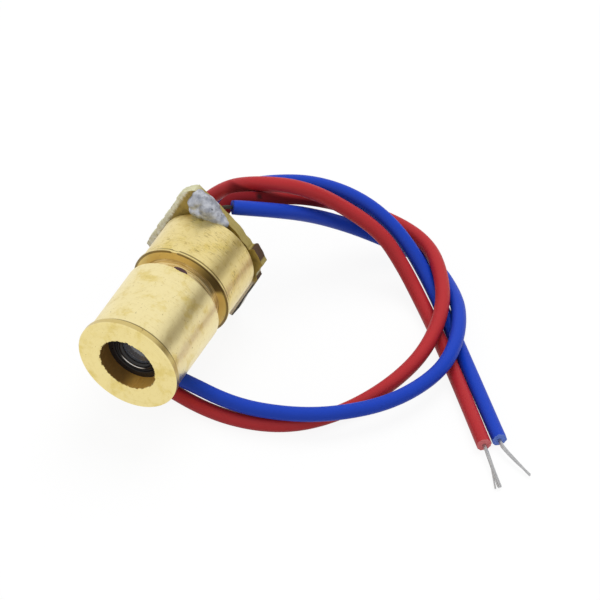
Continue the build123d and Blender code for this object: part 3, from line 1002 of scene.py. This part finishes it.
# %% Wire lines
def new_curve(name, lines, radius, sides, steps=12):
    """A curve with a smooth spline for each list of control points, as thick as twice the radius."""
    data = bpy.data.curves.new(name, "CURVE")
    data.dimensions = "3D"
    for line in lines:
        spline = data.splines.new("NURBS")
        spline.points.add(len(line) - 1)
        for point, place in zip(spline.points, line):
            point.co = (*place, 1)
        spline.order_u = 3
        spline.use_endpoint_u = True
        spline.resolution_u = steps
    data.bevel_depth = radius
    data.bevel_resolution = sides
    data.use_fill_caps = True
    curve = bpy.data.objects.new(name, data)
    bpy.context.collection.objects.link(curve)
    return curve


def smooth_line(route):
    """Points along the smooth line of a route, read from its spline."""
    curve = new_curve("line", [[Vector(place) * MM for place in route]], 0, 0)
    graph = bpy.context.evaluated_depsgraph_get()
    line = bpy.data.meshes.new_from_object(curve.evaluated_get(graph))
    points = [vertex.co.copy() for vertex in line.vertices]
    bpy.data.objects.remove(curve)
    return points


def line_length(points):
    """The length of a line of points."""
    return sum((there - here).length for here, there in zip(points, points[1:]))


red_line = smooth_line(RED_ROUTE)
blue_line = smooth_line(BLUE_ROUTE)
print("red wire", round(line_length(red_line) / MM, 2), "mm, blue wire", round(line_length(blue_line) / MM, 2), "mm")

# %% [markdown]
# The curve becomes a tube of faces, so that its cut ends can be worked: the end face is inset, the middle pushed in
# where the strands come out, and the ring of cut plastic gets a ragged edge.

# %% Wire tubes
BORE_RADIUS = 0.2
BORE_DEPTH = 0.25
CUT_EDGE = 0.06


def to_mesh(curve):
    """Turns a curve into a mesh and opens it in edit mode."""
    only(curve)
    bpy.ops.object.convert(target="MESH")
    piece = bpy.context.object
    piece.data.name = piece.name
    edit(piece)
    return piece


def insulated(name, route, line):
    """A tube of insulation along a route, with its two cut ends."""
    tube = to_mesh(new_curve(name, [[Vector(place) * MM for place in route]], WIRE_DIAMETER / 2, 10))
    merge_points()
    near, wide = 0.02 * MM, WIRE_DIAMETER * 0.6
    for end, before in ((line[0], line[1]), (line[-1], line[-2])):
        out = (end - before).normalized()
        pick(tube, lambda place, normal: (place - end).length < near and normal.dot(out) > 0.9)
        bpy.ops.mesh.inset(thickness=CUT_EDGE * MM)
        bpy.ops.mesh.inset(thickness=WIRE_DIAMETER / 2 - (BORE_RADIUS + CUT_EDGE) * MM)
        extrude(out * -BORE_DEPTH * MM)
        pick(tube, lambda place, normal: (place - end).length < wide and abs((place - end).dot(out)) < near, "VERT")
        shake(0.03, 9)
    close()
    bpy.ops.object.shade_smooth_by_angle(angle=radians(45))
    return tube


red_wire = insulated("red_lead", RED_ROUTE, red_line)
blue_wire = insulated("blue_lead", BLUE_ROUTE, blue_line)
print("tubes of", len(red_wire.data.polygons), "and", len(blue_wire.data.polygons), "faces")

# %% [markdown]
# Soft plastic has a fine grain, a half gloss, and a dark spot on the red wire. Painted shade darkens the first
# run of the red wire, under its return run, and the start of the blue wire. A mark is made from the distance to
# one point, so no picture is needed.

# %% Wire finish
# A dark spot on the first run of the red wire.
DARK_SPOT = Vector((1.23, 8.56, 6.61))


def insulation(name, colour, marks, run_shade=0.0):
    """Soft coloured plastic with grain, and a dark mark at each place in the list. Painted shade darkens the red first
    run.
    """
    material, finish = new_finish(name)
    x, depth, z = finish.place()
    point = finish.vector(x, depth, z)
    grain = finish.noise(point, 6.0, 4)
    patch = finish.noise(point, 0.5, 3)
    shade = tuple(value * 0.72 for value in colour[:3]) + (1.0,)
    mixed = finish.blend(grain * 0.35 + patch * 0.35, colour, shade)
    roughness = 0.42 + grain * 0.12
    y = depth + FRONT / MM
    high = z + AXIS.z / MM
    # Painted shade: the first run of the red wire, under its return run, is darker and duller.
    if run_shade:
        first_run = (high + 0.75 * y).ramp(13.2, 13.5, 1.0, 0.0)
        first_run = first_run * x.band(-0.4, 3.5, 1.0) * high.ramp(3.5, 4.5) * run_shade
        mixed = finish.blend(first_run, mixed, tone(92, 10, 20))
        roughness = roughness + first_run * 0.55
    for place in marks:
        offset = finish.vector(x - place.x, y - place.y, high - place.z)
        distance = finish.node("ShaderNodeVectorMath", {"operation": "LENGTH"}, {0: offset}, output=1)
        mixed = finish.blend((distance + grain * 0.3).ramp(0.2, 0.5, 0.85, 0.0), mixed, tone(30, 14, 16))
    finish.surface(
        Base_Color=mixed,
        Roughness=roughness,
        Specular_IOR_Level=0.25,
        Normal=finish.bump(grain, 0.2, 0.02 * MM),
    )
    return material


red_plastic = insulation("red_plastic", tone(185, 42, 47), [DARK_SPOT], 0.75)
# The dark mark at the start of the blue wire is painted shade, behind the board.
blue_plastic = insulation("blue_plastic", tone(16, 64, 190), [Vector(BLUE_ROUTE[0])])
print("made", red_plastic.name, "and", blue_plastic.name)

# %% [markdown]
# The cut face at the free end is paler, because the knife roughens it. It is a second material, on the faces near
# the end that look outwards.

# %% Cut ends
def cut_plastic(name, pale, deep):
    """The rough face that a knife leaves."""
    material, finish = new_finish(name)
    tear = finish.noise(finish.point(), 8.0, 4, 0.7)
    finish.surface(
        Base_Color=finish.blend(tear, pale, deep),
        Roughness=0.6,
        Normal=finish.bump(tear, 0.5, 0.03 * MM),
    )
    return material


def cut_end(tube, line):
    """Gives the cut face at the free end of a tube its second material."""
    end = line[-1]
    out = (end - line[-2]).normalized()
    reach = WIRE_DIAMETER * 0.55
    second_material(tube, lambda place, normal: (place - end).length < reach and normal.dot(out) > 0.5)


red_cut = cut_plastic("red_cut", tone(248, 150, 152), tone(200, 60, 66))
blue_cut = cut_plastic("blue_cut", tone(134, 168, 246), tone(48, 84, 206))
paint(red_wire, red_plastic, red_cut)
paint(blue_wire, blue_plastic, blue_cut)
cut_end(red_wire, red_line)
cut_end(blue_wire, blue_line)
print("plastic is on both wires")

# %% [markdown]
# ## Bare strands
# At each end the plastic is stripped and seven tinned strands show, one in the middle and six twisted round it.
# Each strand follows the line of the bare end at its own angle, and the angle turns steadily along the line.

# %% Strands
STRAND_RADIUS = 0.05 * MM
BUNDLE_RADIUS = 0.068 * MM
OUTER_STRANDS = 6
TWIST = radians(150)
FAN_START = 0.8


def strands(name, route, fan, metal):
    """Seven twisted strands along a route. Near its end, fan moves some, by number: sideways and back, in mm."""
    line = smooth_line(route)
    lines = [[] for strand in range(OUTER_STRANDS + 1)]
    for number, place in enumerate(line):
        share = number / (len(line) - 1)
        here = line[max(number - 1, 0)]
        there = line[min(number + 1, len(line) - 1)]
        along = (there - here).normalized()
        side = along.cross(Vector((0, 0, 1))).normalized()
        up = side.cross(along)
        spread = max(0.0, (share - FAN_START) / (1 - FAN_START)) ** 1.3
        for strand, path in enumerate(lines):
            angle = 2 * pi * strand / OUTER_STRANDS + TWIST * share
            reach = BUNDLE_RADIUS if strand < OUTER_STRANDS else 0
            sway, shorten = fan.get(strand, (0, 0))
            offset = side * (cos(angle) * reach + sway * MM * spread) + up * sin(angle) * reach
            path.append(place + offset - along * shorten * MM * spread)
    bundle = to_mesh(new_curve(name, lines, STRAND_RADIUS, 3, 3))
    close()
    bpy.ops.object.shade_smooth_by_angle(angle=radians(50))
    paint(bundle, metal)
    return bundle


print("strands are", round(2 * STRAND_RADIUS / MM, 2), "mm thick")

# %% [markdown]
# The free ends are bright, and a few strands have sprung out of the twist. The ends on the board are dark with flux.
# Each bundle reaches a little way into its wire, so that no gap shows between them.

# %% Bare ends
HIDDEN_RUN = 0.24
RED_TIP = (21.83, -1.0, 0.2)
BLUE_TIP = (23.05, 0.68, 0.2)


def ahead(start, toward, distance):
    """A point at a distance from the start, on the way to another point."""
    return Vector(start) + (Vector(toward) - Vector(start)).normalized() * distance


def tip_route(route, tip):
    """From just inside the end of a wire to the tip of its bare strands."""
    end = route[-1]
    return [ahead(end, route[-2], HIDDEN_RUN), end, ahead(end, route[-2], -0.8), tip]


def lead_in(route, pad):
    """From a pad on the board to just inside the start of a wire."""
    foot = spot(*pad, BOARD_REAR) / MM
    return [foot, ahead(route[0], route[1], -0.6), route[0], ahead(route[0], route[1], HIDDEN_RUN)]


fluxed, finish = new_finish("fluxed_strands")
residue = finish.noise(finish.point(), 3.0, 4)
finish.surface(
    Base_Color=finish.blend(residue, tone(36, 27, 20), tone(84, 74, 62)),
    Metallic=0.6,
    Roughness=0.35 + residue * 0.2,
)
RED_FAN = {0: (-0.06, 0), 1: (-0.05, 0), 3: (0.17, -0.04), 5: (-0.03, 0)}
BLUE_FAN = {0: (0.07, 0), 1: (0.06, 0), 3: (-0.09, 0.03), 4: (-0.06, 0)}
red_tip = strands("red_strands", tip_route(RED_ROUTE, RED_TIP), RED_FAN, tinned)
blue_tip = strands("blue_strands", tip_route(BLUE_ROUTE, BLUE_TIP), BLUE_FAN, tinned)
red_tail = strands("red_tail", lead_in(RED_ROUTE, RED_PAD), {}, fluxed)
blue_tail = strands("blue_tail", lead_in(BLUE_ROUTE, BLUE_PAD), {}, fluxed)
for piece, node in (
    (red_tip, "red_tip"), (blue_tip, "blue_tip"), (red_tail, "red_conductor"), (blue_tail, "blue_conductor"),
):
    stand_for(piece, node)

# %% [markdown]
# A wire is soft, and another scene may lay it another way. Here each wire is put in place of its CAD node.

for wire, line, colour_name, pieces in (
    (red_wire, red_line, "red", [red_tip, red_tail]),
    (blue_wire, blue_line, "blue", [blue_tip, blue_tail]),
):
    stand_for(wire, colour_name + "_wire")
    line_length(line)

# %% [markdown]
# ## Inside the barrels
# The spring, the diode and its window are hidden in use, but a part is turned over and taken apart in other scenes.
# Their CAD shapes are right, so they only get finishes: plated steel, drawn wire, glass and a chip of semiconductor.

# %% Finishes for the hidden parts
def plated(name, pale, deep, roughness):
    """Plated metal with faint stains."""
    material, finish = new_finish(name)
    x, depth, z = finish.place()
    stain = finish.noise(finish.vector(x, depth, z), 2.0, 4)
    brush = finish.noise(finish.vector(x * 4, depth * 30, z * 4))
    finish.surface(
        Base_Color=finish.blend(stain, pale, deep),
        Metallic=1.0,
        Roughness=roughness + brush * 0.12,
        Normal=finish.bump(brush, 0.15, 0.01 * MM),
    )
    return material


def coat(material, *names):
    """Gives CAD nodes a finish."""
    for name in names:
        node = nodes[name]
        if not node.material_slots:
            paint(node, material)
        for slot in node.material_slots:
            slot.material = material
    print(material.name, "on", ", ".join(names))


coat(plated("gold_plate", tone(226, 190, 110), tone(206, 166, 88), 0.22), "diode_stem", "diode_leads")
coat(plated("nickel_plate", tone(206, 204, 198), tone(178, 176, 172), 0.25), "diode_can")
coat(plated("spring_wire", tone(176, 178, 182), tone(136, 138, 144), 0.28), "lens_spring")
chip_dark, finish = new_finish("chip_dark")
facet = finish.noise(finish.point(), 14.0)
finish.surface(
    Base_Color=finish.blend(facet, tone(60, 62, 70), tone(96, 98, 108)),
    Metallic=0.5,
    Roughness=0.25 + facet * 0.1,
)
coat(chip_dark, "laser_chip")
coat(clear_glass, "diode_window")

# %% [markdown]
# ## Floor and light
# The object lies on white paper in a tent of soft light. To the camera, to metal and to glass the paper is nearly
# white and keeps a faint shadow. To everything else it is grey, so that undersides stay darker than tops.

# %% Floor
bpy.ops.object.select_all(action="DESELECT")
bpy.ops.mesh.primitive_plane_add(size=4)
floor = bpy.context.object
floor.name = "floor"
WHITE = (1, 1, 1, 1)
PAPER_GREY = (0.45, 0.45, 0.45, 1)
PAPER_GLOW = 0.9
white_paper, finish = new_finish("white_paper")
seen = finish.rays("Camera", "Glossy", "Transmission")
matt = finish.node("ShaderNodeBsdfDiffuse", {}, {"Color": finish.blend(seen, PAPER_GREY, WHITE)})
glow = finish.node("ShaderNodeEmission", {}, {"Color": WHITE, "Strength": 1.0})
paper = finish.node("ShaderNodeMixShader", {}, {0: seen * PAPER_GLOW, 1: matt, 2: glow})
finish.node("ShaderNodeOutputMaterial", {}, {"Surface": paper})
paint(floor, white_paper)
floor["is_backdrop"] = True
print("paper that is", PAPER_GLOW, "glow to the camera")

# %% [markdown]
# The tent is the world itself, so it has no walls to model. It is plain white to the camera and a little dimmer as a
# light. One dark card stands to the right behind the object, and only mirrors and light see it: metal only looks
# like metal when it has something dark to mirror.

# %% Light tent
TENT_FILL = 0.72
CARD_BROWN = (0.16, 0.12, 0.07, 1)
world = bpy.data.worlds.new("light_tent")
bpy.context.scene.world = world
world.use_nodes = True
sky = Finish(world.node_tree)
right, back, high = sky.split(sky.node("ShaderNodeTexCoord", output=0))
card = high.ramp(0.35, 0.66, 1.0, 0.0) * high.ramp(0.04, 0.16) * right.ramp(0.25, 0.62) * back.ramp(0.2, 0.45)
level = TENT_FILL + (1 - TENT_FILL) * sky.rays("Camera", "Glossy", "Transmission")
hidden = (1.0 - sky.rays("Camera")) * card * 0.95
colour = sky.blend(hidden, WHITE, CARD_BROWN)
light = sky.node("ShaderNodeBackground", {}, {"Color": colour, "Strength": level})
sky.node("ShaderNodeOutputWorld", {}, {"Surface": light})
bpy.context.scene.view_settings.view_transform = "Standard"
print("tent of plain white light, with one dark card")

# %% [markdown]
# A tent alone lights all sides alike. One large lamp, high and behind, makes the tops brighter and throws a soft
# shadow to the front. It is not mirrored, so no disc of light shows in the brass.

# %% Lamp over the tent
LAMP_HEIGHT = 0.45
LAMP_BACK = 0.25
bpy.ops.object.light_add(
    type="AREA",
    location=(0.0, LAMP_BACK, LAMP_HEIGHT),
    rotation=(atan2(-LAMP_BACK, LAMP_HEIGHT), 0, 0),
)
lamp = bpy.context.object
lamp.name = "top_lamp"
lamp.data.shape = "DISK"
lamp.data.size = 0.35
lamp.data.energy = 1.25
lamp.visible_glossy = False
print("lamp of", round(lamp.data.energy, 2), "W over the object")

# %% [markdown]
# ## The size at the end
# The size of the box round the finished object is printed.

# %% Size and finish
low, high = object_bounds()
print("size in mm:", [round((end - start) / MM, 2) for start, end in zip(low, high)])
